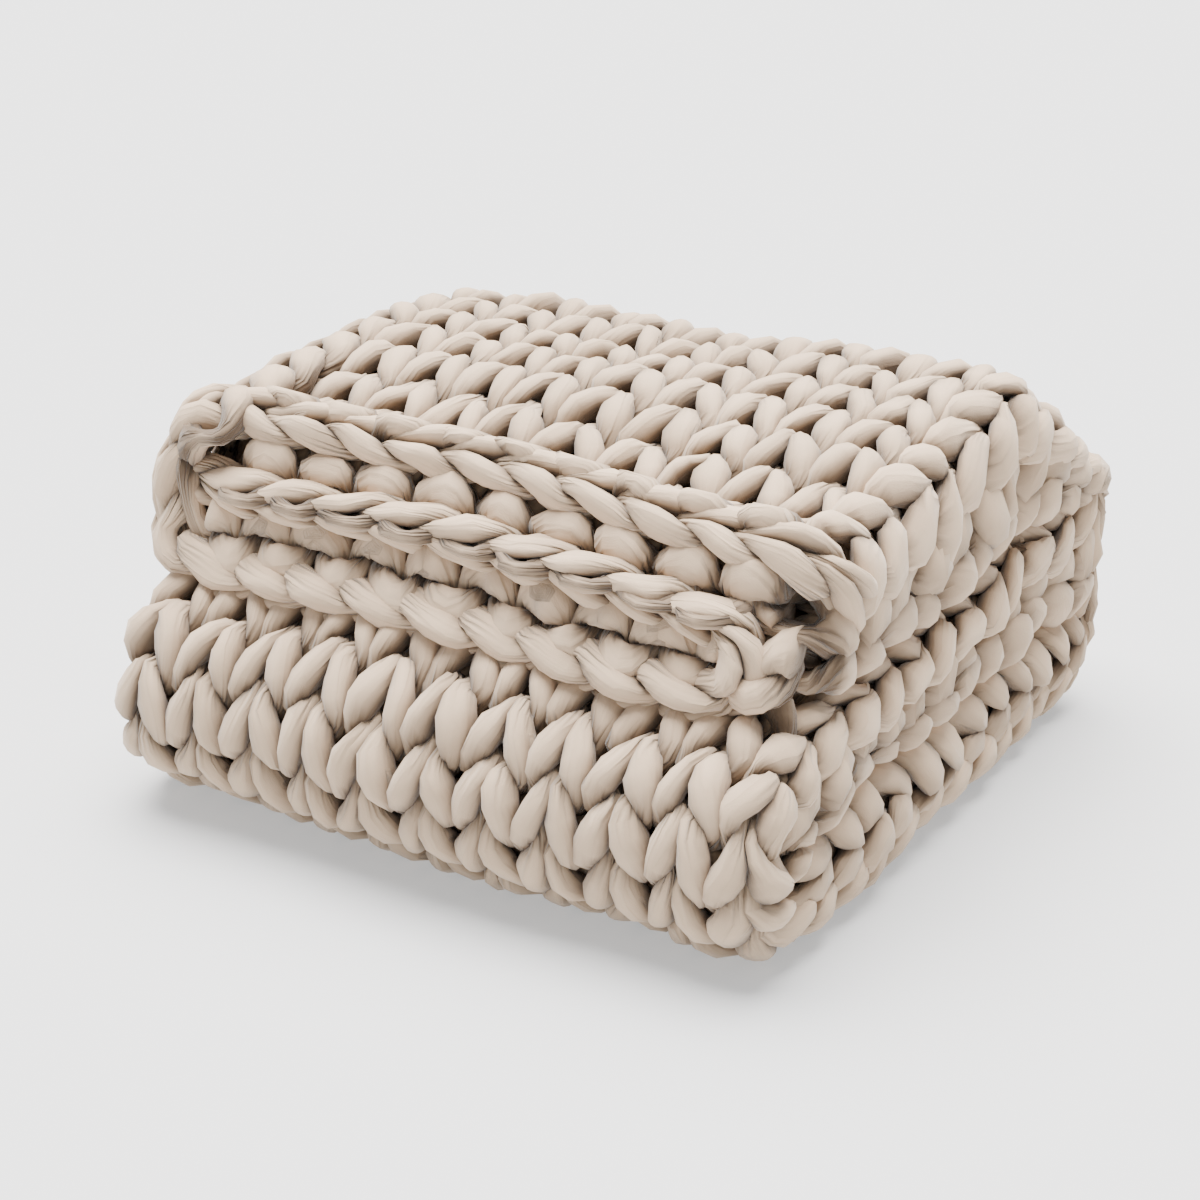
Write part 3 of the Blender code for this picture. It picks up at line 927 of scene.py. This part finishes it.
def chain(name, tree, link, points, spine, width, thickness, seed, yarn):
    """The chain that finishes one end of the cloth, along a route through the points."""
    points = rounded(points)
    route = guide_object(name + " route", points)
    links = round(path_length(points) / LINK)
    piece = grown(tree, link, {
        "Columns": 1, "Rows": links, "First column": 0.0, "First row": 0, "Column pitch": COLUMN,
        "Row pitch": path_length(points) / links, "Route": route, "Spine": spine,
        "Spine left": SPINE_ENDS[0], "Spine right": SPINE_ENDS[1], "Width": width,
        "Thickness": thickness, "Unevenness": UNEVENNESS, "Softness": SOFTNESS, "Seed": seed,
        "Yarn": yarn}, name + "_chain")
    parts = ("outer", "middle", "inner", "left_turn", "right_turn", "corner")
    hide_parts(*[name + "_" + part for part in parts])
    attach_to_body(piece, "flap" if name == "bind_off" else "folded_pack")
    bpy.data.objects.remove(route)


def build_chains(yarn):
    tree = chain_tree()
    shown = stitch_mesh("chain link", 32, 22, chain_line, beside=False)
    hidden = stitch_mesh("hidden chain link", 16, 12, chain_line, beside=False)
    chain("bind_off", tree, shown, CHAIN_ROUTE, BIND_OFF_SPINE, width=0.62, thickness=0.78, seed=5,
          yarn=yarn)
    chain("cast_on", tree, hidden, cast_on_route(), CAST_ON_SPINE, width=0.6, thickness=0.6, seed=6,
          yarn=yarn)


yarn = jersey("jersey", YARN_COLOUR)
build_cloth(yarn)
build_chains(yarn)


# ---------------------------------------------------------------- studio
def paper_floor(half=8.0):
    corners = [(-half, -half, 0), (half, -half, 0), (half, half, 0), (-half, half, 0)]
    sheet = bpy.data.meshes.new("floor")
    sheet.from_pydata(corners, [], [(0, 1, 2, 3)])
    floor = bpy.data.objects.new("floor", sheet)
    bpy.context.scene.collection.objects.link(floor)
    paper = bpy.data.materials.new("paper")
    paper.use_nodes = True
    shader = paper.node_tree.nodes["Principled BSDF"]
    shader.inputs["Base Color"].default_value = (0.47, 0.47, 0.475, 1)
    shader.inputs["Emission Color"].default_value = (0.97, 0.99, 1.0, 1)
    shader.inputs["Emission Strength"].default_value = 0.50
    shader.inputs["Roughness"].default_value = 1.0
    shader.inputs["Specular IOR Level"].default_value = 0.0
    sheet.materials.append(paper)


def soft_light():
    """A bright room all round, and a wide window high up."""
    world = bpy.data.worlds.new("soft room")
    bpy.context.scene.world = world
    world.use_nodes = True
    room = world.node_tree.nodes["Background"]
    room.inputs["Color"].default_value = (0.95, 0.98, 1.0, 1)
    room.inputs["Strength"].default_value = 0.70

    sun = bpy.data.lights.new("window", "SUN")
    sun.energy = 18.0
    sun.color = (1.0, 0.985, 0.965)
    sun.angle = radians(60)
    lamp = bpy.data.objects.new("window", sun)
    toward = Vector((-0.20, 0.24, 0.95))
    lamp.rotation_euler = toward.to_track_quat("Z", "Y").to_euler()
    bpy.context.scene.collection.objects.link(lamp)


def standing_camera():
    """From the front right and above, aimed a little over the pack's foot."""
    azimuth = radians(31.4)
    elevation = radians(27.9)
    distance = 2.003
    foot = Vector((0, -0.010, 0))
    aim_left = 0.004353
    aim_up = 0.044
    back = Vector((sin(azimuth) * cos(elevation), -cos(azimuth) * cos(elevation), sin(elevation)))
    right = Vector((cos(azimuth), sin(azimuth), 0))
    up = back.cross(right)
    aim = -back - right * aim_left + up * aim_up
    data = bpy.data.cameras.new("camera")
    data.lens = 102.0
    data.sensor_width = 36
    camera = bpy.data.objects.new("camera", data)
    camera.location = foot + back * distance
    camera.rotation_euler = aim.to_track_quat("-Z", "Y").to_euler()
    bpy.context.scene.collection.objects.link(camera)
    bpy.context.scene.camera = camera


paper_floor()
soft_light()
standing_camera()
